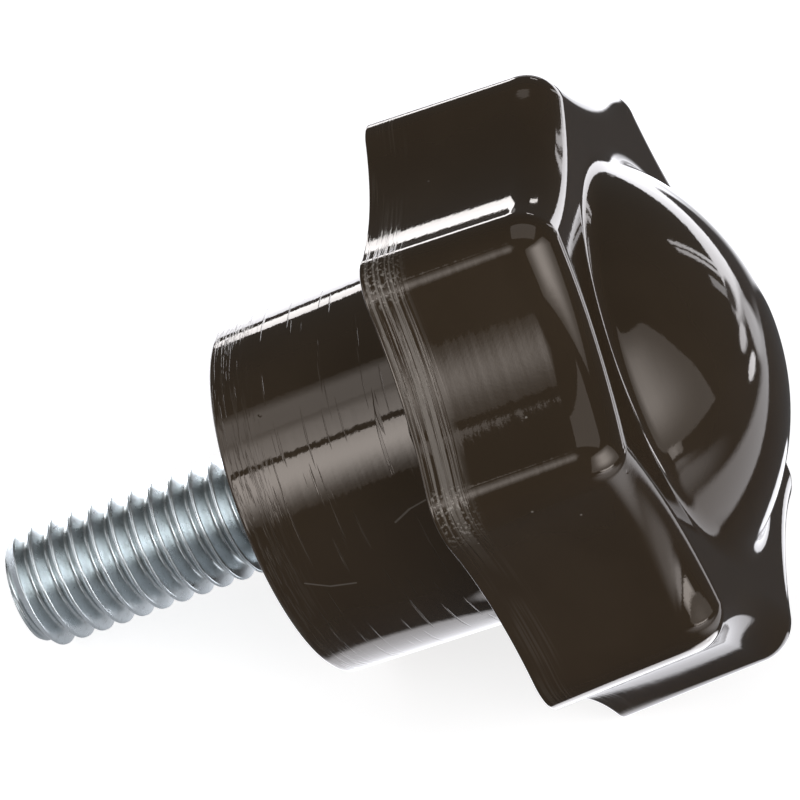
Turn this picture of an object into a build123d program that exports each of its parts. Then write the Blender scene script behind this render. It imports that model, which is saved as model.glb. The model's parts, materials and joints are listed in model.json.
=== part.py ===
from build123d import *
from math import atan2, cos, degrees, pi, radians, sin, tan
import os

# Eight-ridge clamping knob, moulded in one piece around a threaded steel stud.
# Millimetres, +Z up. The knob lies as it rests on a bench: on the rear corners of two
# neighbouring ridges and on the end of its stud. X runs along the knob, from the stud's
# end to the dome, and the origin is on the bench, under the middle of the whole part.

# Head
ridge_count = 8
head_diameter = 41.4
ridge_round = 3.0
flute_depth = 2.3
head_thickness = 12.4
head_draft = 2.2
front_round = 2.6

# Dome on the front face, inside a flat land
front_land = 1.42
dome_height = 6.1
dome_root_round = 2.0

# Hub behind the head
hub_diameter = 23.4
hub_length = 14.4
hub_draft = 2.0

# Stud outside the hub, at its thread's outside size
stud_diameter = 7.94
stud_length = 18.6
stud_point_length = 1.2
stud_point_diameter = 6.4

# Stud inside the hub: a run-out to the neck, then a hexagonal anchor with a ring groove
runout_length = 0.6
neck_diameter = 6.6
neck_length = 0.9
anchor_flats = 9.525
anchor_length = 11.0
groove_width = 2.0
groove_diameter = 7.4

# Outline of the head: ridges and flutes are arcs that meet without a corner
half_step = pi / ridge_count
ridge_centre = head_diameter / 2 - ridge_round
flute_floor = head_diameter / 2 - flute_depth
flute_lead = flute_floor - ridge_centre * cos(half_step)
flute_rise = ridge_centre * sin(half_step)
flute_round = (ridge_round**2 - flute_lead**2 - flute_rise**2) / (2 * (flute_lead - ridge_round))
flute_centre = flute_floor + flute_round
flute_swing = atan2(flute_rise, flute_lead + flute_round)
ridge_swing = half_step + flute_swing

# Lean of the knob on the bench, and the height of the hub's end above it
stud_radius = stud_diameter / 2
stud_foot = stud_length - stud_point_length
ridge_reach = ridge_centre * cos(half_step) + ridge_round
lean = atan2(ridge_reach - stud_radius, hub_length + stud_foot)
seat_height = stud_radius * cos(lean) + stud_foot * sin(lean)

# Ends of the part along X, counted from the hub's end
front_level = hub_length + head_thickness
front_inset = head_thickness * tan(radians(head_draft)) + front_round
dome_rim = flute_floor - front_inset - front_land
dome_round = (dome_rim**2 + dome_height**2) / (2 * dome_height) - dome_root_round
dome_end = (front_level + dome_height - dome_round) * cos(lean) + dome_round
lip_end = (front_level - front_round) * cos(lean) + (ridge_reach - front_inset) * sin(lean) + front_round
stud_end = stud_length * cos(lean) + stud_point_diameter / 2 * sin(lean)
seat_x = (stud_end - max(lip_end, dome_end)) / 2

# The seat is the hub's end, facing the dome. Turned profiles are drawn along its axis.
seat = Plane(
    origin=(seat_x, 0, seat_height),
    x_dir=(-sin(lean), 0, cos(lean)),
    z_dir=(cos(lean), 0, sin(lean)),
)
profile = Plane(origin=seat.origin, x_dir=seat.x_dir, z_dir=-seat.y_dir)
axis = Axis(seat.origin, seat.z_dir)

os.makedirs("parts", exist_ok=True)

# Stud, turned from hexagon bar: the anchor keeps the bar's flats
anchor_start = runout_length + neck_length
anchor_end = anchor_start + anchor_length
collar_length = (anchor_length - groove_width) / 2
with BuildPart() as threaded_stud:
    with BuildSketch(profile):
        with BuildLine():
            Polyline(
                (0, -stud_length),
                (stud_point_diameter / 2, -stud_length),
                (stud_radius, -stud_foot),
                (stud_radius, 0),
                (neck_diameter / 2, runout_length),
                (neck_diameter / 2, anchor_start),
                (groove_diameter / 2, anchor_start),
                (groove_diameter / 2, anchor_end),
                (0, anchor_end),
                close=True,
            )
        make_face()
    revolve(axis=axis)
    with BuildSketch(seat.offset(anchor_start), seat.offset(anchor_end - collar_length)):
        RegularPolygon(radius=anchor_flats / 2, side_count=6, major_radius=False)
    extrude(amount=collar_length)
threaded_stud.part.label = "threaded_stud"
export_step(threaded_stud.part, "parts/threaded_stud.step")

# Knob, moulded in one piece: fluted head, dome and hub, solid round the anchor. The dome
# and its hollow root are arcs that meet without a corner.
dome_top = front_level + dome_height
dome_share = dome_round / (dome_round + dome_root_round)
dome_shoulder = (dome_rim * dome_share, dome_top - dome_height * dome_share)
with BuildPart() as knob_body:
    with BuildSketch(seat.offset(hub_length)):
        with BuildLine():
            for ridge in range(ridge_count):
                turn = (2 * ridge + 1) * half_step
                CenterArc(
                    (ridge_centre * cos(turn), ridge_centre * sin(turn)),
                    ridge_round,
                    degrees(turn - ridge_swing),
                    degrees(2 * ridge_swing),
                )
                middle = turn + half_step
                CenterArc(
                    (flute_centre * cos(middle), flute_centre * sin(middle)),
                    flute_round,
                    degrees(middle + pi + flute_swing),
                    degrees(-2 * flute_swing),
                )
        make_face()
    extrude(amount=head_thickness, taper=head_draft)
    fillet(knob_body.faces().sort_by(axis)[-1].edges(), radius=front_round)
    with BuildSketch(seat):
        Circle(hub_diameter / 2)
    extrude(amount=hub_length, taper=-hub_draft)
    with BuildSketch(profile):
        with BuildLine():
            Polyline((dome_rim, front_level), (0, front_level), (0, dome_top))
            RadiusArc((0, dome_top), dome_shoulder, dome_round)
            RadiusArc(dome_shoulder, (dome_rim, front_level), -dome_root_round)
        make_face()
    revolve(axis=axis)
    add(threaded_stud.part, mode=Mode.SUBTRACT)
knob_body.part.label = "knob_body"
export_step(knob_body.part, "parts/knob_body.step")
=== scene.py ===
import json
import logging
import math
from dataclasses import dataclass, field
from enum import Enum
from typing import Any, Optional, Union

import bpy
from mathutils import Matrix, Vector

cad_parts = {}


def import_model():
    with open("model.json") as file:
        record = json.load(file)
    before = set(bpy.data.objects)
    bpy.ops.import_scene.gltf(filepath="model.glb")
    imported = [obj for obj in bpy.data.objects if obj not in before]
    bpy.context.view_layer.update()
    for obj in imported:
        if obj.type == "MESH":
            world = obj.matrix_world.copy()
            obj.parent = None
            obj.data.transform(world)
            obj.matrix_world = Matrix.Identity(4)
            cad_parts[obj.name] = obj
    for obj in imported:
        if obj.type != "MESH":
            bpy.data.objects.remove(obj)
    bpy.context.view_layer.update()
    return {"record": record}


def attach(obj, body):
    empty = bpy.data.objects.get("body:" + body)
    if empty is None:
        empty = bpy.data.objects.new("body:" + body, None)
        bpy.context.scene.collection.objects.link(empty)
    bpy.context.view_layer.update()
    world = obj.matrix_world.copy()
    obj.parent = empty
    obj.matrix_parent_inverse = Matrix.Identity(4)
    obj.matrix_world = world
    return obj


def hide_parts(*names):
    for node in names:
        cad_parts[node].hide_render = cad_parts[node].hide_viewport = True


log = logging.getLogger("clamping_knob")

MM = 0.001
FULL_TURN = 2 * math.pi
Number = Union["Signal", float, int]
Triple = tuple[float, float, float]


class Signal:
    """A socket that takes part in Python arithmetic: each operation adds one Math node."""

    def __init__(self, tree: "Tree", socket: bpy.types.NodeSocket) -> None:
        """Wraps a socket.

        Args:
            tree: The tree that the socket belongs to.
            socket: The output socket whose value this is.
        """
        self.tree = tree
        self.socket = socket

    def math(self, operation: str, *values: Number) -> "Signal":
        """Adds a Math node.

        Args:
            operation: The node's operation, as Blender names it.
            values: What goes into its sockets after this signal.

        Returns:
            The node's result.
        """
        return self.tree.math(operation, self, *values)

    def __add__(self, other: Number) -> "Signal":
        """This plus other."""
        return self.math("ADD", other)

    def __radd__(self, other: Number) -> "Signal":
        """Other plus this."""
        return self.tree.math("ADD", other, self)

    def __sub__(self, other: Number) -> "Signal":
        """This less other."""
        return self.math("SUBTRACT", other)

    def __rsub__(self, other: Number) -> "Signal":
        """Other less this."""
        return self.tree.math("SUBTRACT", other, self)

    def __mul__(self, other: Number) -> "Signal":
        """This times other."""
        return self.math("MULTIPLY", other)

    def __rmul__(self, other: Number) -> "Signal":
        """Other times this."""
        return self.tree.math("MULTIPLY", other, self)

    def __truediv__(self, other: Number) -> "Signal":
        """This over other."""
        return self.math("DIVIDE", other)

    def __rtruediv__(self, other: Number) -> "Signal":
        """Other over this."""
        return self.tree.math("DIVIDE", other, self)

    def __abs__(self) -> "Signal":
        """This without its sign."""
        return self.math("ABSOLUTE")

    def __gt__(self, other: Number) -> "Signal":
        """1 where this is more than other, else 0."""
        return self.math("GREATER_THAN", other)

    def __lt__(self, other: Number) -> "Signal":
        """1 where this is less than other, else 0."""
        return self.math("LESS_THAN", other)

    def sine(self) -> "Signal":
        """Sine of this angle in radians."""
        return self.math("SINE")

    def cosine(self) -> "Signal":
        """Cosine of this angle in radians."""
        return self.math("COSINE")

    def floor(self) -> "Signal":
        """The whole number at or below this."""
        return self.math("FLOOR")

    def fraction(self) -> "Signal":
        """What is left above the whole number."""
        return self.math("FRACT")

    def root(self) -> "Signal":
        """Square root of this."""
        return self.math("SQRT")

    def least(self, other: Number) -> "Signal":
        """The lesser of this and other."""
        return self.math("MINIMUM", other)

    def most(self, other: Number) -> "Signal":
        """The greater of this and other."""
        return self.math("MAXIMUM", other)

    def clamp(self, low: float = 0.0, high: float = 1.0) -> "Signal":
        """This, held between low and high."""
        return self.most(low).least(high)

    def above(self, level: float, slope: float) -> "Signal":
        """A straight rise from 0 at level, as steep as slope, that stops at 1."""
        return ((self - level) * slope).clamp()

    def ramp(self, start: float, end: float) -> "Signal":
        """A smooth rise from 0 where this is start to 1 where it is end; start may be the greater.

        Args:
            start: The value that gives 0.
            end: The value that gives 1.

        Returns:
            The smooth step.
        """
        share = ((self - start) * (1.0 / (end - start))).clamp()
        return share * share * (3.0 - 2.0 * share)


class Tree:
    """A node tree in which one method makes every node."""

    def __init__(self, tree: bpy.types.NodeTree) -> None:
        """Takes over a tree and empties it.

        Args:
            tree: The node tree to build in.
        """
        self.tree = tree
        self.tree.nodes.clear()

    def node(
        self,
        kind: str,
        settings: Optional[dict[str, Any]] = None,
        inputs: Optional[dict[Union[str, int], Any]] = None,
    ) -> bpy.types.Node:
        """Adds a node, sets its settings and then fills its sockets.

        Args:
            kind: The node's type.
            settings: Its properties, such as a Math node's operation.
            inputs: Values or signals by socket name or index.

        Returns:
            The new node.
        """
        made = self.tree.nodes.new(kind)
        for name, value in (settings or {}).items():
            setattr(made, name, value)
        for key, value in (inputs or {}).items():
            if isinstance(value, Signal):
                self.tree.links.new(value.socket, made.inputs[key])
            else:
                made.inputs[key].default_value = value
        return made

    def signal(
        self,
        kind: str,
        settings: Optional[dict[str, Any]] = None,
        inputs: Optional[dict[Union[str, int], Any]] = None,
        output: Union[str, int] = 0,
    ) -> Signal:
        """Adds a node as node() does and returns one of its outputs.

        Args:
            kind: The node's type.
            settings: Its properties.
            inputs: Values or signals by socket name or index.
            output: The output's name or index.

        Returns:
            That output.
        """
        return Signal(self, self.node(kind, settings, inputs).outputs[output])

    def math(self, operation: str, *values: Number) -> Signal:
        """Adds a Math node.

        Args:
            operation: The node's operation.
            values: What goes into its sockets, in order.

        Returns:
            The node's result.
        """
        return self.signal("ShaderNodeMath", {"operation": operation}, dict(enumerate(values)))

    def combine(self, x: Number, y: Number, z: Number) -> Signal:
        """A vector from three numbers."""
        return self.signal("ShaderNodeCombineXYZ", None, {0: x, 1: y, 2: z})

    def vector_math(self, operation: str, *values: Any, output: int = 0) -> Signal:
        """Adds a Vector Math node.

        Args:
            operation: The node's operation.
            values: What goes into its sockets, in order.
            output: 0 for its vector, 1 for its number.

        Returns:
            The chosen output.
        """
        return self.signal(
            "ShaderNodeVectorMath", {"operation": operation}, dict(enumerate(values)), output
        )

    def scaled(self, vector: Any, share: Number) -> Signal:
        """A vector times a number."""
        return self.signal(
            "ShaderNodeVectorMath", {"operation": "SCALE"}, {"Vector": vector, "Scale": share}
        )

    def blend_colours(self, share: Number, first: Any, second: Any) -> Signal:
        """Mixes two colours.

        Args:
            share: 0 gives the first, 1 the second.
            first: A colour or a signal.
            second: A colour or a signal.

        Returns:
            The mixed colour.
        """
        # Each data type has a pair of sockets of the same names, so the colours' go by index.
        inputs = {0: share, 6: opaque(first), 7: opaque(second)}
        return self.signal("ShaderNodeMix", {"data_type": "RGBA"}, inputs, 2)

    def noise(
        self, vector: Signal, scale: float, detail: float = 2.0, rough: float = 0.5
    ) -> Signal:
        """Adds a Noise Texture.

        Args:
            vector: Where it is read.
            scale: Waves per unit of the vector.
            detail: How many octaves.
            rough: How strong the finer octaves are.

        Returns:
            A value around 0.5.
        """
        return self.signal(
            "ShaderNodeTexNoise",
            {"noise_dimensions": "3D"},
            {"Vector": vector, "Scale": scale, "Detail": detail, "Roughness": rough},
        )


def opaque(colour: Any) -> Any:
    """A colour with an alpha of 1; a signal stays as it is."""
    return colour if isinstance(colour, Signal) else (*colour[:3], 1.0)


@dataclass(frozen=True)
class Seat:
    """The end of the hub: the place and directions that both pieces are built from, in metres."""

    centre: Vector
    across: Vector
    side: Vector
    along: Vector

    @classmethod
    def from_record(cls, record: dict[str, Any]) -> "Seat":
        """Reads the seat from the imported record's hub_end mount.

        Args:
            record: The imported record.

        Returns:
            The seat, with along pointing from the stud to the dome.
        """
        mount = next(m for m in record["mounts"] if m["name"] == "hub_end")
        along = -Vector(mount["axis"]).normalized()
        across = Vector((-along.z, 0.0, along.x))
        centre = Vector((mount["pos_m"][0], 0.0, mount["pos_m"][2]))
        return cls(centre, across, along.cross(across), along)


class Recipe(Tree):
    """A Geometry Nodes tree with named inputs, which is run once to make a plain mesh."""

    def __init__(self, name: str) -> None:
        """Starts the tree.

        Args:
            name: The tree's name.
        """
        super().__init__(bpy.data.node_groups.new(name, "GeometryNodeTree"))
        self.name = name
        self.values: dict[str, Any] = {}
        self.entry = self.node("NodeGroupInput")

    def given(self, name: str, value: Union[float, Vector]) -> Signal:
        """Adds a named input.

        Args:
            name: The input's name.
            value: Its value for this piece, a number or a vector.

        Returns:
            The input inside the tree.
        """
        kind = "NodeSocketVector" if isinstance(value, Vector) else "NodeSocketFloat"
        self.tree.interface.new_socket(name=name, in_out="INPUT", socket_type=kind)
        self.values[name] = value
        return Signal(self, self.entry.outputs[name])

    def grid(self, columns: int, rows: int) -> tuple[Signal, Signal, Signal]:
        """Adds a flat grid to be bent into shape.

        Args:
            columns: Steps round the piece.
            rows: Steps along its outline.

        Returns:
            The grid's mesh, and each vertex's column and row.
        """
        mesh = self.signal(
            "GeometryNodeMeshGrid", None, {"Vertices X": columns + 1, "Vertices Y": rows + 1}
        )
        index = self.signal("GeometryNodeInputIndex")
        column = ((index + 0.5) / (rows + 1)).floor()
        return mesh, column, index - column * (rows + 1)

    def set_in_seat(self, seat: Seat, x: Number, y: Number, z: Number) -> Signal:
        """Turns a place on the seat's directions into one in the part's frame.

        Args:
            seat: The seat.
            x: Distance across, in millimetres.
            y: Distance to the side, in millimetres.
            z: Distance along the axis, in millimetres.

        Returns:
            The place in metres.
        """
        place = self.given("Seat centre", seat.centre)
        for name, way, reach in (
            ("Across", seat.across, x), ("Side", seat.side, y), ("Along", seat.along, z)
        ):
            step = self.scaled(self.given(name, way), reach * MM)
            place = self.vector_math("ADD", place, step)
        return place

    def run(
        self, mesh: Signal, place: Signal, weld: float, material: bpy.types.Material
    ) -> bpy.types.Object:
        """Bends the grid, closes its seam and poles, and makes a plain mesh object of it.

        Args:
            mesh: The grid.
            place: Each vertex's place in the part's frame.
            weld: Distance within which vertices become one, in millimetres.
            material: The piece's material.

        Returns:
            The piece, at the origin, with no modifier.
        """
        bent = self.signal("GeometryNodeSetPosition", None, {"Geometry": mesh, "Position": place})
        welded = self.signal(
            "GeometryNodeMergeByDistance", None, {"Geometry": bent, "Distance": weld * MM}
        )
        smooth = self.signal("GeometryNodeSetShadeSmooth", None, {"Geometry": welded})
        real = self.signal("GeometryNodeRealizeInstances", None, {"Geometry": smooth})
        dressed = self.signal(
            "GeometryNodeSetMaterial", None, {"Geometry": real, "Material": material}
        )
        self.tree.interface.new_socket(
            name="Geometry", in_out="OUTPUT", socket_type="NodeSocketGeometry"
        )
        self.node("NodeGroupOutput", None, {0: dressed})
        piece = bpy.data.objects.new(self.name, bpy.data.meshes.new(self.name))
        bpy.context.scene.collection.objects.link(piece)
        modifier = piece.modifiers.new(self.name, "NODES")
        modifier.node_group = self.tree
        for item in self.tree.interface.items_tree:
            if item.name in self.values:
                value = self.values[item.name]
                modifier[item.identifier] = tuple(value) if isinstance(value, Vector) else value
        graph = bpy.context.evaluated_depsgraph_get()
        made = bpy.data.meshes.new_from_object(piece.evaluated_get(graph))
        piece.modifiers.clear()
        piece.data = made
        made.name = self.name
        return piece


@dataclass(frozen=True)
class Scratch:
    """A thin mark on the hub's side, its ends in millimetres along and degrees round the axis."""

    start: tuple[float, float]
    end: tuple[float, float]
    half_width: float


@dataclass(frozen=True)
class Wear:
    """What a kind of wear does to a finish where it lies, with its relief in millimetres."""

    paleness: float = 0.0
    dullness: float = 0.0
    relief: float = 0.0


class Paint(Tree):
    """A material's node tree, read by places on the knob in millimetres."""

    HUB_RADIUS = 12.0
    HUB_REACH = 13.0  # past the hub's side, and short of the head's

    def __init__(self, name: str, seat: Seat) -> None:
        """Starts the material.

        Args:
            name: The material's name.
            seat: Where the knob's axis is.
        """
        self.material = bpy.data.materials.new(name)
        self.material.use_nodes = True
        super().__init__(self.material.node_tree)
        place = self.signal("ShaderNodeTexCoord", None, None, "Object")
        self.place = self.scaled(place, 1.0 / MM)
        local = self.vector_math("SUBTRACT", place, tuple(seat.centre))
        self.across = self.reach(local, seat.across)
        self.side = self.reach(local, seat.side)
        self.along = self.reach(local, seat.along)
        self.radius = (self.across * self.across + self.side * self.side).root()
        self.turn = self.math("ARCTAN2", self.side, self.across)

    def reach(self, local: Signal, way: Vector) -> Signal:
        """How far a place lies along a direction, in millimetres."""
        return self.vector_math("DOT_PRODUCT", local, tuple(way / MM), output=1)

    def streaks(self, arc: float, length: float, seed: float, detail: float = 2.0) -> Signal:
        """Noise drawn out round the axis, with no seam.

        Args:
            arc: Waves per millimetre round the axis, at the hub's radius.
            length: Waves per millimetre along the axis.
            seed: Shifts the pattern.
            detail: How many octaves.

        Returns:
            A value around 0.5.
        """
        around = self.HUB_RADIUS * arc
        vector = self.combine(
            self.across / self.radius * around,
            self.side / self.radius * around,
            self.along * length + seed,
        )
        return self.noise(vector, 1.0, detail)

    def specks(self, spacing: float, size: float, share: float, seed: float) -> Signal:
        """Small separate marks.

        Args:
            spacing: Distance between them in millimetres.
            size: Their radius in millimetres.
            share: How many of the places have one, 0 to 1.
            seed: Shifts the pattern.

        Returns:
            1 inside a mark, 0 elsewhere.
        """
        place = self.vector_math("ADD", self.place, (seed, seed * 0.7, seed * 1.3))
        patches = self.noise(place, 1.1) > 0.45
        cells = self.node(
            "ShaderNodeTexVoronoi", {"feature": "F1"}, {"Vector": place, "Scale": 1.0 / spacing}
        )
        near = Signal(self, cells.outputs["Distance"]) * spacing
        colour = Signal(self, cells.outputs["Color"])
        pick = self.signal("ShaderNodeSeparateColor", None, {0: colour})
        return near.ramp(size, size * 0.4) * (pick < share) * patches

    def scratch(self, mark: Scratch) -> Signal:
        """Draws a single mark on the side of the hub.

        Args:
            mark: Its ends and its width.

        Returns:
            1 on the mark, 0 elsewhere.
        """
        start, end = (
            Vector((along, math.radians(turn) * self.HUB_RADIUS))
            for along, turn in (mark.start, mark.end)
        )
        way = end - start
        ahead = self.along - start.x
        round_it = self.turn * self.HUB_RADIUS - start.y
        share = ((ahead * way.x + round_it * way.y) / way.length_squared).clamp()
        ahead, round_it = ahead - share * way.x, round_it - share * way.y
        away = (ahead * ahead + round_it * round_it).root()
        on_mark = away.ramp(mark.half_width, mark.half_width * 0.3)
        return on_mark * (self.radius < self.HUB_REACH)

    def finish(
        self, colour: Signal, roughness: Signal, height: Signal, constants: dict[str, Any]
    ) -> bpy.types.Material:
        """Joins everything to a Principled shader.

        Args:
            colour: Base colour.
            roughness: Roughness.
            height: Relief in millimetres.
            constants: Values that are the same all over, by socket name.

        Returns:
            The material.
        """
        relief = self.signal(
            "ShaderNodeBump", None, {"Strength": 1.0, "Distance": MM, "Height": height}, "Normal"
        )
        sockets = {"Base Color": colour, "Roughness": roughness, "Normal": relief, **constants}
        shader = self.signal("ShaderNodeBsdfPrincipled", None, sockets)
        self.node("ShaderNodeOutputMaterial", None, {"Surface": shader})
        return self.material


@dataclass(frozen=True)
class GlossBlack:
    """Black thermoset with a moulded gloss, scuffed where it has been handled."""

    colour: Triple = (0.0270, 0.0180, 0.0100)
    warm: Triple = (0.0315, 0.0215, 0.0125)
    scraped: Triple = (0.36, 0.335, 0.30)
    sheen: Triple = (1.0, 0.92, 0.84)
    gloss_roughness: float = 0.03
    refraction: float = 1.55
    grain_relief: float = 0.0024
    wander_relief: float = 0.0055
    comb_fades: tuple[float, float] = (3.6, 0.6)
    hub_fades: tuple[float, float] = (14.2, 13.6)
    band_starts: tuple[float, float] = (14.55, 14.8)
    band_ends: tuple[float, float] = (17.6, 16.0)
    trimmed_side: float = 44.0
    trimmed_cosines: tuple[float, float] = (0.84, 0.95)
    chipped_radii: tuple[float, float] = (19.8, 20.5)
    scraping: Wear = Wear(0.26, 0.30, -0.012)
    chipping: Wear = Wear(0.45, 0.25)
    dusting: Wear = Wear(0.35, 0.30, 0.006)
    combing: Wear = Wear(paleness=0.03)
    scratching: Wear = Wear(dullness=0.14, relief=-0.010)
    marking: Wear = Wear(paleness=0.18)
    nicking: Wear = Wear(relief=-0.012)
    marks: tuple[Scratch, ...] = (
        Scratch((9.4, 72.2), (10.6, 69.8), 0.09),
        Scratch((10.6, 69.8), (11.8, 68.8), 0.07),
        Scratch((2.2, 81.4), (3.6, 85.2), 0.07),
        Scratch((3.6, 85.2), (5.2, 87.0), 0.08),
    )

    def material(self, seat: Seat) -> bpy.types.Material:
        """Builds the material.

        Args:
            seat: Where the knob's axis is.

        Returns:
            The material.
        """
        paint = Paint("gloss_black_moulding", seat)
        tone = paint.noise(paint.place, scale=0.12, detail=3.0)
        colour = paint.blend_colours(tone.ramp(0.35, 0.65), self.colour, self.warm)

        comb = paint.streaks(arc=0.34, length=7.0, seed=3.0).above(0.52, 16.0)
        comb = comb * paint.along.ramp(*self.comb_fades)
        long_marks = paint.streaks(arc=0.16, length=4.2, seed=31.0, detail=1.0).above(0.68, 24.0)
        scratches = (comb * 0.8).most(long_marks * paint.along.ramp(*self.hub_fades))
        marks: Number = 0.0
        for mark in self.marks:
            marks = paint.scratch(mark).most(marks)

        band = paint.along.ramp(*self.band_starts) * paint.along.ramp(*self.band_ends)
        lines = paint.streaks(arc=0.16, length=6.5, seed=11.0, detail=3.0).above(0.47, 10.0)
        patches = paint.streaks(arc=0.25, length=0.5, seed=23.0, detail=1.0).ramp(0.42, 0.60)
        ahead = (paint.turn - math.radians(self.trimmed_side)).cosine()
        trimmed = ahead.ramp(*self.trimmed_cosines)
        scrape = band * lines * (patches * 0.16).most(trimmed)
        grit = paint.noise(paint.place, scale=5.0).ramp(0.52, 0.66)
        chipped = band * trimmed * paint.radius.ramp(*self.chipped_radii) * grit

        dust = paint.specks(spacing=3.1, size=0.11, share=0.45, seed=5.0)
        nicks = paint.specks(spacing=4.7, size=0.22, share=0.30, seed=19.0)

        worn = (
            (scrape, self.scraping), (chipped, self.chipping), (dust, self.dusting),
            (comb, self.combing), (scratches, self.scratching), (marks, self.marking),
            (nicks, self.nicking),
        )
        pale = sum(mask * wear.paleness for mask, wear in worn if wear.paleness)
        colour = paint.blend_colours(pale.clamp(), colour, self.scraped)
        dull = sum(mask * wear.dullness for mask, wear in worn if wear.dullness)
        roughness = self.gloss_roughness + tone * 0.03 + dull
        grain = paint.noise(paint.place, scale=2.4, detail=3.0, rough=0.6)
        wander = paint.streaks(arc=0.10, length=1.3, seed=41.0)
        relief = sum(mask * wear.relief for mask, wear in worn if wear.relief)
        height = grain * self.grain_relief + wander * self.wander_relief + relief
        constants = {"IOR": self.refraction, "Specular Tint": opaque(self.sheen)}
        return paint.finish(colour, roughness, height, constants)


@dataclass(frozen=True)
class ZincPlate:
    """Bright zinc plate over a rolled thread, with grime in patches and painted shade down in the
    roots.
    """

    colour: Triple = (0.68, 0.74, 0.765)
    # This darker colour serves both the grime and the painted shade in the thread's roots.
    grimy_and_shaded: Triple = (0.20, 0.215, 0.20)
    plate_roughness: float = 0.19
    root_radius: float = 3.15
    crest_radius: float = 3.85

    def material(self, seat: Seat) -> bpy.types.Material:
        """Builds the material.

        Args:
            seat: Where the stud's axis is.

        Returns:
            The material.
        """
        paint = Paint("bright_zinc_plate", seat)
        cloud = paint.noise(paint.place, scale=0.9, detail=4.0, rough=0.6)
        rolled = paint.streaks(arc=0.3, length=7.0, seed=2.0, detail=3.0)
        flecks = paint.noise(paint.place, scale=4.5, detail=3.0, rough=0.7)
        # Painted shade: the colour darkens from the crests down into the thread's roots, where
        # shade falls; the cloud, streak and fleck terms are grime.
        root_shade = paint.radius.ramp(self.crest_radius, self.root_radius)
        grime_and_root_shade = (
            root_shade * 0.30
            + cloud.ramp(0.5, 0.8) * 0.35
            + rolled.ramp(0.55, 0.8) * 0.2
            + flecks.ramp(0.55, 0.72) * 0.3
        )
        colour = paint.blend_colours(grime_and_root_shade.clamp(), self.colour, self.grimy_and_shaded)
        roughness = self.plate_roughness + cloud * 0.12 + rolled * 0.08
        height = rolled * 0.008 + (cloud + flecks) * 0.006
        return paint.finish(colour, roughness, height, {"Metallic": 1.0})


@dataclass
class Piece:
    """A finished piece of the knob."""

    seat: Seat
    node: str
    slot: str

    def hand_over(self, piece: bpy.types.Object) -> bpy.types.Object:
        """Puts the piece in place of its CAD node and reports it.

        Args:
            piece: The finished mesh object.

        Returns:
            The same object.
        """
        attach(piece, "root")
        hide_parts(self.node)
        mesh = piece.data
        mesh.calc_loop_triangles()
        corners = (
            [mesh.vertices[index].co for index in triangle.vertices]
            for triangle in mesh.loop_triangles
        )
        volume = sum(a.dot(b.cross(c)) / 6 for a, b, c in corners) / MM**3
        log.info(
            "%s: %d vertices, %d triangles, %.0f mm3",
            piece.name, len(mesh.vertices), len(mesh.loop_triangles), volume,
        )
        return piece


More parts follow.
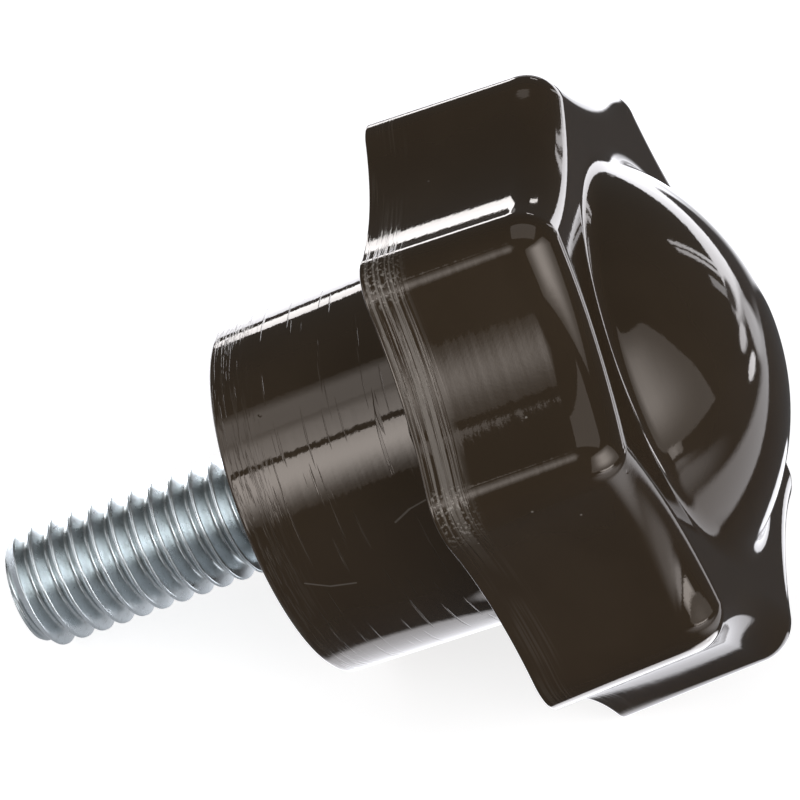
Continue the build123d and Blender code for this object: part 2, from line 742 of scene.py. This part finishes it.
@dataclass
class Moulding(Piece):
    """The moulded head, dome and hub, in millimetres."""

    node: str = "knob_body"
    slot: str = "moulding"
    ridge_count: int = 8
    head_diameter: float = 41.4
    ridge_round: float = 3.0
    flute_depth: float = 2.3
    head_thickness: float = 12.4
    head_draft: float = math.radians(2.2)
    front_round: float = 2.6
    front_land: float = 1.42
    dome_height: float = 6.1
    dome_root_round: float = 2.0
    hub_diameter: float = 23.4
    hub_length: float = 14.4
    hub_draft: float = math.radians(2.0)
    hub_rim_round: float = 0.25
    hub_root_round: float = 0.8
    rear_rim_round: float = 0.12
    steps_per_ridge: int = 56
    ridge_share: float = 26 / 56
    weld: float = 0.0004
    steps: dict[str, int] = field(
        default_factory=lambda: {
            "hub end": 8, "hub rim": 4, "hub side": 16, "hub root": 5, "rear face": 12,
            "rear rim": 3, "head side": 18, "front round": 16, "front face": 8,
            "dome root": 9, "dome": 34,
        }
    )

    def build(self, finish: GlossBlack) -> bpy.types.Object:
        """Builds and dresses the moulding.

        Args:
            finish: Its finish.

        Returns:
            The piece.
        """
        recipe = Recipe("moulded_body")
        columns = self.ridge_count * self.steps_per_ridge
        mesh, column, row = recipe.grid(columns, sum(self.steps.values()))
        radius, height, inset, fluted = self.outline(recipe, row)
        x, y, turn = self.fluted_ring(recipe, column, inset)
        plain = 1.0 - fluted
        place = recipe.set_in_seat(
            self.seat,
            fluted * x + plain * radius * turn.cosine(),
            fluted * y + plain * radius * turn.sine(),
            height,
        )
        return self.hand_over(recipe.run(mesh, place, self.weld, finish.material(self.seat)))

    def fluted_ring(
        self, recipe: Recipe, column: Signal, inset: Signal
    ) -> tuple[Signal, Signal, Signal]:
        """Works out the ring of ridges and flutes, arcs that meet without a corner.

        Args:
            recipe: The tree.
            column: Each vertex's column.
            inset: How far the ring is drawn in.

        Returns:
            The place on the drawn-in ring, across and to the side, and its turn on the ring.
        """
        half_step = math.pi / self.ridge_count
        centre = self.head_diameter / 2 - self.ridge_round
        floor = self.head_diameter / 2 - self.flute_depth
        lead = floor - centre * math.cos(half_step)
        rise = centre * math.sin(half_step)
        flute_round = (self.ridge_round**2 - lead**2 - rise**2) / (2 * (lead - self.ridge_round))
        swing = half_step + math.atan2(rise, lead + flute_round)
        ridge_centre = recipe.given("Ridge centre", centre)
        ridge_round = recipe.given("Ridge round", self.ridge_round)
        ridge_swing = recipe.given("Ridge swing", swing)
        flute_centre = recipe.given("Flute centre", floor + flute_round)
        flute_radius = recipe.given("Flute round", flute_round)

        part = column / self.steps_per_ridge
        ridge = part.floor()
        shift = (part - ridge) * 2.0 - 1.0
        sign = (shift > 0.0) * 2.0 - 1.0
        away = abs(shift)
        on_ridge = away < self.ridge_share + 1e-4
        ridge_angle = ridge_swing * away / self.ridge_share
        past_ridge = (away - self.ridge_share) / (1 - self.ridge_share)
        flute_angle = ridge_swing + (half_step - ridge_swing) * past_ridge
        angle = on_ridge * ridge_angle + (1.0 - on_ridge) * flute_angle
        ridge_x = ridge_centre + ridge_round * angle.cosine()
        ridge_y = ridge_round * angle.sine()
        flute_x = flute_centre * math.cos(half_step) - flute_radius * angle.cosine()
        flute_y = flute_centre * math.sin(half_step) - flute_radius * angle.sine()
        ring_x = on_ridge * ridge_x + (1.0 - on_ridge) * flute_x
        ring_y = on_ridge * ridge_y + (1.0 - on_ridge) * flute_y
        drawn_x = ring_x - inset * angle.cosine()
        drawn_y = (ring_y - inset * angle.sine()) * sign
        middle = (ridge * 2.0 + 1.0) * half_step
        x = drawn_x * middle.cosine() - drawn_y * middle.sine()
        y = drawn_x * middle.sine() + drawn_y * middle.cosine()
        return x, y, middle + recipe.math("ARCTAN2", ring_y * sign, ring_x)

    def outline(self, recipe: Recipe, row: Signal) -> tuple[Signal, Signal, Signal, Signal]:
        """Works out the moulding's outline from the middle of the hub's end to the top of the dome.

        Args:
            recipe: The tree.
            row: Each vertex's row.

        Returns:
            Radius of the round parts, distance along the axis, inset of the fluted ring, and how
            far the place belongs to the fluted ring.
        """
        share: dict[str, Signal] = {}
        eased: dict[str, Signal] = {}
        start = 0
        for name, count in self.steps.items():
            share[name] = ((row - start) / count).clamp()
            eased[name] = 0.5 - 0.5 * (share[name] * math.pi).cosine()
            start += count

        draft_slope = math.tan(self.hub_draft)
        square = math.pi / 2 - self.hub_draft
        rim, root, rear = self.hub_rim_round, self.hub_root_round, self.rear_rim_round
        rim_top = rim - rim * math.cos(square)
        rim_middle = self.hub_diameter / 2 + rim_top * draft_slope - rim * math.sin(square)
        root_foot = self.hub_length - root + root * math.cos(square)
        root_radius = self.hub_diameter / 2 + root_foot * draft_slope
        root_middle = root_radius + root * math.sin(square)
        rim_angle = share["hub rim"] * square
        root_angle = (1.0 - share["hub root"]) * square

        side_slope = math.tan(self.head_draft)
        over = math.pi / 2 + self.head_draft
        side_foot = rear - rear * math.cos(over)
        rear_inset = side_foot * side_slope + rear * math.sin(over)
        arc_rise = self.front_round * (1.0 - math.sin(self.head_draft))
        arc_foot = self.head_thickness - arc_rise
        rear_angle = share["rear rim"] * over
        front_angle = self.head_draft + share["front round"] * (math.pi / 2 - self.head_draft)

        flute_floor = self.head_diameter / 2 - self.flute_depth
        front_inset = self.head_thickness * side_slope + self.front_round
        dome_rim = flute_floor - front_inset - self.front_land
        both_rounds = (dome_rim**2 + self.dome_height**2) / (2 * self.dome_height)
        dome_round = both_rounds - self.dome_root_round
        shoulder = math.asin(dome_rim / both_rounds)
        root_turn = share["dome root"] * shoulder
        dome_turn = (1.0 - share["dome"]) * shoulder

        hub_rim = recipe.given("Hub rim round", rim)
        hub_root = recipe.given("Hub root round", root)
        rear_round = recipe.given("Rear rim round", rear)
        front_round = recipe.given("Front round", self.front_round)
        dome_root = recipe.given("Dome root round", self.dome_root_round)
        dome = recipe.given("Dome round", dome_round)

        hub_rise = eased["hub side"] * (root_foot - rim_top)
        head_rise = eased["head side"] * (arc_foot - side_foot)
        radius = (
            eased["hub end"] * rim_middle
            + hub_rim * rim_angle.sine()
            + hub_rise * draft_slope
            + hub_root * (math.sin(square) - root_angle.sine())
            + share["head side"] * (dome_rim - root_middle)
            - dome_root * root_turn.sine()
            - dome * (math.sin(shoulder) - dome_turn.sine())
        )
        height = (
            hub_rim * (1.0 - rim_angle.cosine())
            + hub_rise
            + hub_root * (root_angle.cosine() - math.cos(square))
            + rear_round * (1.0 - rear_angle.cosine())
            + head_rise
            + front_round * (front_angle.sine() - math.sin(self.head_draft))
            + dome_root * (1.0 - root_turn.cosine())
            + dome * (dome_turn.cosine() - math.cos(shoulder))
        )
        inset = (
            rear_inset
            - rear_round * rear_angle.sine()
            + head_rise * side_slope
            + front_round * (math.cos(self.head_draft) - front_angle.cosine())
        )
        return radius, height, inset, eased["rear face"] - eased["front face"]


@dataclass
class ThreadedStud(Piece):
    """The stud that stands out of the hub, with its rolled right-hand thread, in millimetres."""

    node: str = "threaded_stud"
    slot: str = "steel"
    diameter: float = 7.94
    length: float = 18.6
    point_length: float = 1.2
    point_diameter: float = 6.4
    pitch: float = 25.4 / 18
    first_crest: float = -17.9
    crest_flat: float = 0.088
    seam_depth: float = 0.05
    seam_width: float = 0.05
    thread_depth: float = 0.6134
    flank_slope: float = math.tan(math.radians(60.0))
    crest_round: float = 0.06
    root_round: float = 0.22
    point_round: float = 0.08
    seated: float = 0.45
    steps_round: int = 96
    steps_per_pitch: int = 32
    weld: float = 0.001

    def build(self, finish: ZincPlate) -> bpy.types.Object:
        """Builds and dresses the stud.

        Args:
            finish: Its finish.

        Returns:
            The piece.
        """
        recipe = Recipe("rolled_stud")
        first = self.first_crest - 2 * self.pitch
        rows = math.ceil((self.seated - first) / self.pitch) * self.steps_per_pitch
        mesh, column, row = recipe.grid(self.steps_round, rows)
        pitch = recipe.given("Pitch", self.pitch)
        crest = recipe.given("Crest radius", self.diameter / 2)
        root = recipe.given("Root radius", self.diameter / 2 - self.thread_depth * self.pitch)
        seam = recipe.given("Seam depth", self.seam_depth)

        share = column / self.steps_round
        raw = pitch * (row / self.steps_per_pitch + share) + first
        height = raw.clamp(-self.length, self.seated)
        phase = (height - self.first_crest) / pitch - share
        away = abs((phase + 0.5).fraction() - 0.5) * pitch
        flank = crest - (away - self.crest_flat) * self.flank_slope
        rounded = recipe.math("SMOOTH_MIN", crest, flank, self.crest_round)
        rounded = recipe.math("SMOOTH_MAX", rounded, root, self.root_round)
        folded = rounded - seam * (1.0 - away / self.seam_width).clamp()
        lean = (self.diameter - self.point_diameter) / 2 / self.point_length
        point = (height + self.length) * lean + self.point_diameter / 2
        radius = recipe.math("SMOOTH_MIN", folded, point, self.point_round)
        radius = radius * (row > 0.5) * (row < rows - 0.5)
        turn = share * FULL_TURN
        place = recipe.set_in_seat(self.seat, radius * turn.cosine(), radius * turn.sine(), height)
        return self.hand_over(recipe.run(mesh, place, self.weld, finish.material(self.seat)))


class Hue(Enum):
    """The tints of light in the studio."""

    DAY = (1.0, 0.985, 1.0)
    COOL = (0.94, 0.945, 1.0)


@dataclass(frozen=True)
class SoftLamp:
    """A soft upright lamp beside the knob, placed by the angles at which the knob sees it."""

    name: str
    turns: tuple[float, float]
    rises: tuple[float, float]
    level: float
    least: float = 1.0
    turn_fades: tuple[float, float] = (0.1, 0.1)
    rise_fades: tuple[float, float] = (0.1, 0.1)
    distance: float = 0.5
    hue: Hue = Hue.DAY

    def build(self, target: Vector) -> bpy.types.Object:
        """Adds the lamp.

        Args:
            target: What it faces.

        Returns:
            The lamp.
        """
        low, high = (self.distance * math.tan(math.radians(rise)) for rise in self.rises)
        turn = math.radians(sum(self.turns) / 2)
        half = math.radians(self.turns[1] - self.turns[0]) / 2
        way = Vector((math.sin(turn), math.cos(turn), 0.0))
        lamp = add_panel(
            self.name, 2 * self.distance * math.tan(half), high - low, self.level, self.hue
        )
        lamp.location = target + way * self.distance + Vector((0.0, 0.0, (low + high) / 2))
        lamp.rotation_euler = (-way).to_track_quat("-Z", "Y").to_euler()
        if self.least < 1.0:
            self.fade(lamp, target)
        return lamp

    def fade(self, lamp: bpy.types.Object, target: Vector) -> None:
        """Lets the lamp's face fall off towards its edges.

        Args:
            lamp: The lamp.
            target: What it faces.
        """
        lamp.data.use_nodes = True
        tree = Tree(lamp.data.node_tree)
        place = tree.signal("ShaderNodeNewGeometry", None, None, "Position")
        local = tree.vector_math("SUBTRACT", place, tuple(target))
        parts = tree.node("ShaderNodeSeparateXYZ", None, {0: local})
        x, y, z = (Signal(tree, parts.outputs[i]) for i in range(3))
        turn = tree.math("ARCTAN2", x, y) * math.degrees(1.0)
        rise = tree.math("ARCTAN2", z, (x * x + y * y).root()) * math.degrees(1.0)
        share = turn.ramp(self.turns[0], self.turns[0] + self.turn_fades[0])
        share = share * turn.ramp(self.turns[1], self.turns[1] - self.turn_fades[1])
        share = share * rise.ramp(self.rises[0], self.rises[0] + self.rise_fades[0])
        share = share * rise.ramp(self.rises[1], self.rises[1] - self.rise_fades[1])
        glow = tree.signal(
            "ShaderNodeEmission", None, {"Strength": self.least + (1.0 - self.least) * share}
        )
        tree.node("ShaderNodeOutputLight", None, {"Surface": glow})


def add_panel(name: str, width: float, height: float, level: float, hue: Hue) -> bpy.types.Object:
    """Adds a rectangular area lamp that the camera doesn't see.

    Args:
        name: The lamp's name.
        width: Its width in metres.
        height: Its height in metres.
        level: How bright its face is, where 1 is white.
        hue: Its tint.

    Returns:
        The lamp, at the origin.
    """
    data = bpy.data.lights.new(name, "AREA")
    data.shape = "RECTANGLE"
    data.size = width
    data.size_y = height
    data.energy = level * math.pi * width * height
    data.color = hue.value
    lamp = bpy.data.objects.new(name, data)
    lamp.visible_camera = False
    bpy.context.scene.collection.objects.link(lamp)
    return lamp


@dataclass(frozen=True)
class Gleam:
    """A soft oval of painted light on the table that only the knob's gloss shows, or of painted
    shadow where its level is low, in millimetres and degrees.
    """

    middle: tuple[float, float]
    reach: tuple[float, float]
    turn: float
    level: float
    edge: float = 0.3

    def over(self, tree: Tree, x: Signal, y: Signal, under: Number) -> Signal:
        """Lays the oval over what is there.

        Args:
            tree: Not used.
            x: Place across, in millimetres.
            y: Place in depth, in millimetres.
            under: The level so far.

        Returns:
            The level with the oval.
        """
        sine, cosine = math.sin(math.radians(self.turn)), math.cos(math.radians(self.turn))
        x, y = x - self.middle[0], y - self.middle[1]
        long = (x * sine + y * cosine) / self.reach[0]
        wide = (x * cosine - y * sine) / self.reach[1]
        share = (long * long + wide * wide).root().ramp(1.0 + self.edge / 2, 1.0 - self.edge / 2)
        return under + share * (self.level - under)


@dataclass(frozen=True)
class PaleTable:
    """The pale table top: white to the camera with a pale shadow; in the knob's gloss it glows with
    painted light and painted shadow.
    """

    size: float = 8.0
    whiteness: float = 0.6
    shadow_depth: float = 0.5
    white: float = 0.77
    # Painted shade: the table's glow in the knob's gloss where no oval lies.
    dark: float = 0.13
    # Ovals that glow only in the knob's gloss: the bright ones are painted light on the table, the
    # dim ones painted shade.
    gleams: tuple[Gleam, ...] = (
        Gleam((-38.0, 0.0), (42.0, 30.0), 0.0, 0.45),
        Gleam((700.0, 1200.0), (900.0, 380.0), 30.0, 4.4, 0.2),
        Gleam((38.0, 447.0), (600.0, 330.0), 62.0, 4.8, 0.14),
        Gleam((-10.0, 50.0), (45.0, 40.0), 90.0, 3.2, 0.8),
        Gleam((640.0, 610.0), (560.0, 55.0), 46.4, 0.25),
        # Painted shadow of the knob on the table, seen only in its gloss.
        Gleam((69.0, 106.0), (54.0, 28.0), 8.0, 0.12, 0.25),
        Gleam((108.0, 88.0), (55.0, 13.0), 40.0, 2.6, 0.6),
        Gleam((290.0, 184.0), (125.0, 25.0), 58.0, 4.6, 0.4),
        Gleam((66.0, 8.0), (52.0, 23.0), 10.0, 1.9, 0.7),
        Gleam((37.6, 16.9), (50.0, 20.5), 32.0, 0.1, 0.12),
        Gleam((135.0, 65.0), (22.0, 12.0), 70.0, 6.0),
        Gleam((125.0, -95.0), (80.0, 70.0), 50.0, 1.2, 0.8),
        Gleam((461.0, -415.0), (400.0, 170.0), 132.0, 3.2, 0.6),
        Gleam((3.0, -5.0), (9.0, 6.0), 70.0, 2.4, 0.2),
        Gleam((30.2, 12.5), (6.5, 3.2), 15.0, 2.4, 0.2),
        Gleam((19.5, -5.2), (12.5, 3.35), 79.0, 1.75, 0.12),
        Gleam((22.0, -15.3), (15.0, 4.9), 92.0, 4.6, 0.2),
        Gleam((29.0, -16.5), (8.0, 6.5), 60.0, 7.0, 0.4),
    )

    def build(self) -> bpy.types.Object:
        """Builds the table top.

        Returns:
            The stage piece.
        """
        half = self.size / 2
        mesh = bpy.data.meshes.new("pale_table")
        corners = [(-half, -half, 0), (half, -half, 0), (half, half, 0), (-half, half, 0)]
        mesh.from_pydata(corners, [], [(0, 1, 2, 3)])
        table = bpy.data.objects.new("pale_table", mesh)
        bpy.context.scene.collection.objects.link(table)
        mesh.materials.append(self.material())
        return table

    def material(self) -> bpy.types.Material:
        """Builds the table's material.

        Returns:
            The material.
        """
        made = bpy.data.materials.new("pale_table_top")
        made.use_nodes = True
        tree = Tree(made.node_tree)
        rays = tree.node("ShaderNodeLightPath")
        seen = Signal(tree, rays.outputs["Is Camera Ray"])
        mirrored = Signal(tree, rays.outputs["Is Glossy Ray"])
        plain, pale = (
            tree.signal("ShaderNodeBsdfDiffuse", None, {"Color": opaque([grey] * 3)})
            for grey in (self.whiteness, self.shadow_depth)
        )
        glow = tree.signal("ShaderNodeEmission", None, {"Strength": self.white})
        shown = tree.signal("ShaderNodeAddShader", None, {0: pale, 1: glow})
        place = tree.signal("ShaderNodeTexCoord", None, None, "Object")
        parts = tree.node("ShaderNodeSeparateXYZ", None, {0: place})
        x, y = (Signal(tree, parts.outputs[i]) / MM for i in range(2))
        level: Number = self.dark
        for gleam in self.gleams:
            level = gleam.over(tree, x, y, level)
        tint = opaque(Hue.COOL.value)
        # Painted light and shade: the table glows in the knob's gloss at the ovals' levels.
        gleaming = tree.signal("ShaderNodeEmission", None, {"Color": tint, "Strength": level})
        first = tree.signal("ShaderNodeMixShader", None, {0: mirrored, 1: plain, 2: gleaming})
        last = tree.signal("ShaderNodeMixShader", None, {0: seen, 1: first, 2: shown})
        tree.node("ShaderNodeOutputMaterial", None, {"Surface": last})
        return made


@dataclass(frozen=True)
class Studio:
    """The table, lamps, surroundings and camera."""

    target: Triple = (0.0, 0.0, 0.015)
    eye: Triple = (0.0185274, -0.6952089, 0.5822313)
    right: Triple = (0.9997180, 0.0234828, -0.0035344)
    up: Triple = (-0.0120333, 0.6292511, 0.7771090)
    lens: float = 644.18
    sensor: float = 36.0
    surroundings: float = 0.12
    overhead_size: tuple[float, float] = (0.7, 0.5)
    overhead_place: Triple = (0.0, 0.05, 0.65)
    overhead_level: float = 0.7
    lamps: tuple[SoftLamp, ...] = (
        SoftLamp(
            "right_softbox", turns=(86.0, 170.0), rises=(4.0, 51.0), level=4.4,
            least=0.15, turn_fades=(44.0, 38.0), rise_fades=(20.0, 14.0),
        ),
        SoftLamp(
            "left_softbox_near", turns=(-149.0, -126.5), rises=(5.0, 46.0), level=5.5,
            least=0.06, turn_fades=(14.0, 0.1), rise_fades=(0.1, 17.0),
        ),
        SoftLamp(
            "left_softbox_far", turns=(-123.0, -104.0), rises=(5.0, 48.0), level=2.9,
            least=0.35, turn_fades=(0.1, 8.0), rise_fades=(0.1, 14.0),
        ),
        SoftLamp(
            "left_softbox_edge", turns=(-104.0, -80.0), rises=(5.0, 47.0), level=1.3,
            least=0.2, turn_fades=(0.1, 10.0),
        ),
        SoftLamp(
            "low_strip", turns=(109.0, 150.0), rises=(0.3, 4.6), level=5.0,
            least=0.25, turn_fades=(8.0, 12.0), rise_fades=(0.1, 1.5),
        ),
        SoftLamp("window_strip", (38.3, 39.8), (0.2, 18.0), 3.8, distance=0.8, hue=Hue.COOL),
        SoftLamp("window_slat", (40.8, 42.4), (0.2, 17.0), 3.4, distance=0.8, hue=Hue.COOL),
        SoftLamp("short_strip", (45.4, 48.6), (0.3, 7.0), 1.8, distance=0.8, hue=Hue.COOL),
        SoftLamp("far_glint", (-27.0, -13.0), (3.0, 10.0), 7.0, distance=0.8),
        SoftLamp("high_glint", (4.0, 14.0), (18.0, 20.0), 7.0, distance=0.8),
        SoftLamp("back_glow", (-12.0, 14.0), (0.5, 8.0), 1.0, distance=0.8),
    )

    def build(self) -> None:
        """Builds the whole studio and sets the camera."""
        PaleTable().build()
        for lamp in self.lamps:
            lamp.build(Vector(self.target))
        overhead = add_panel("overhead", *self.overhead_size, self.overhead_level, Hue.DAY)
        overhead.location = self.overhead_place
        self.build_surroundings()
        self.build_camera()
        log.info("studio: table, %d lamps, camera", len(self.lamps) + 1)

    def build_surroundings(self) -> None:
        """Makes the world white to the camera and dim in the knob's gloss."""
        world = bpy.data.worlds.new("surroundings")
        world.use_nodes = True
        bpy.context.scene.world = world
        tree = Tree(world.node_tree)
        seen = tree.signal("ShaderNodeLightPath", None, None, "Is Camera Ray")
        level = self.surroundings + seen * (1.0 - self.surroundings)
        white = opaque((1.0, 1.0, 1.0))
        light = tree.signal("ShaderNodeBackground", None, {"Color": white, "Strength": level})
        tree.node("ShaderNodeOutputWorld", None, {"Surface": light})

    def build_camera(self) -> None:
        """Puts the camera where the photograph was taken from."""
        data = bpy.data.cameras.new("camera")
        data.lens = self.lens
        data.sensor_width = self.sensor
        camera = bpy.data.objects.new("camera", data)
        bpy.context.scene.collection.objects.link(camera)
        back = Vector(self.right).cross(self.up)
        turned = Matrix((self.right, self.up, back)).transposed()
        camera.matrix_world = Matrix.Translation(self.eye) @ turned.to_4x4()
        bpy.context.scene.camera = camera


def main() -> None:
    """Builds the knob and its studio."""
    logging.basicConfig(level=logging.INFO, format="%(name)s: %(message)s")
    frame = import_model()
    seat = Seat.from_record(frame["record"])
    Moulding(seat).build(GlossBlack())
    ThreadedStud(seat).build(ZincPlate())
    Studio().build()
    bpy.context.scene.view_settings.view_transform = "Standard"


if __name__ == "__main__":
    main()
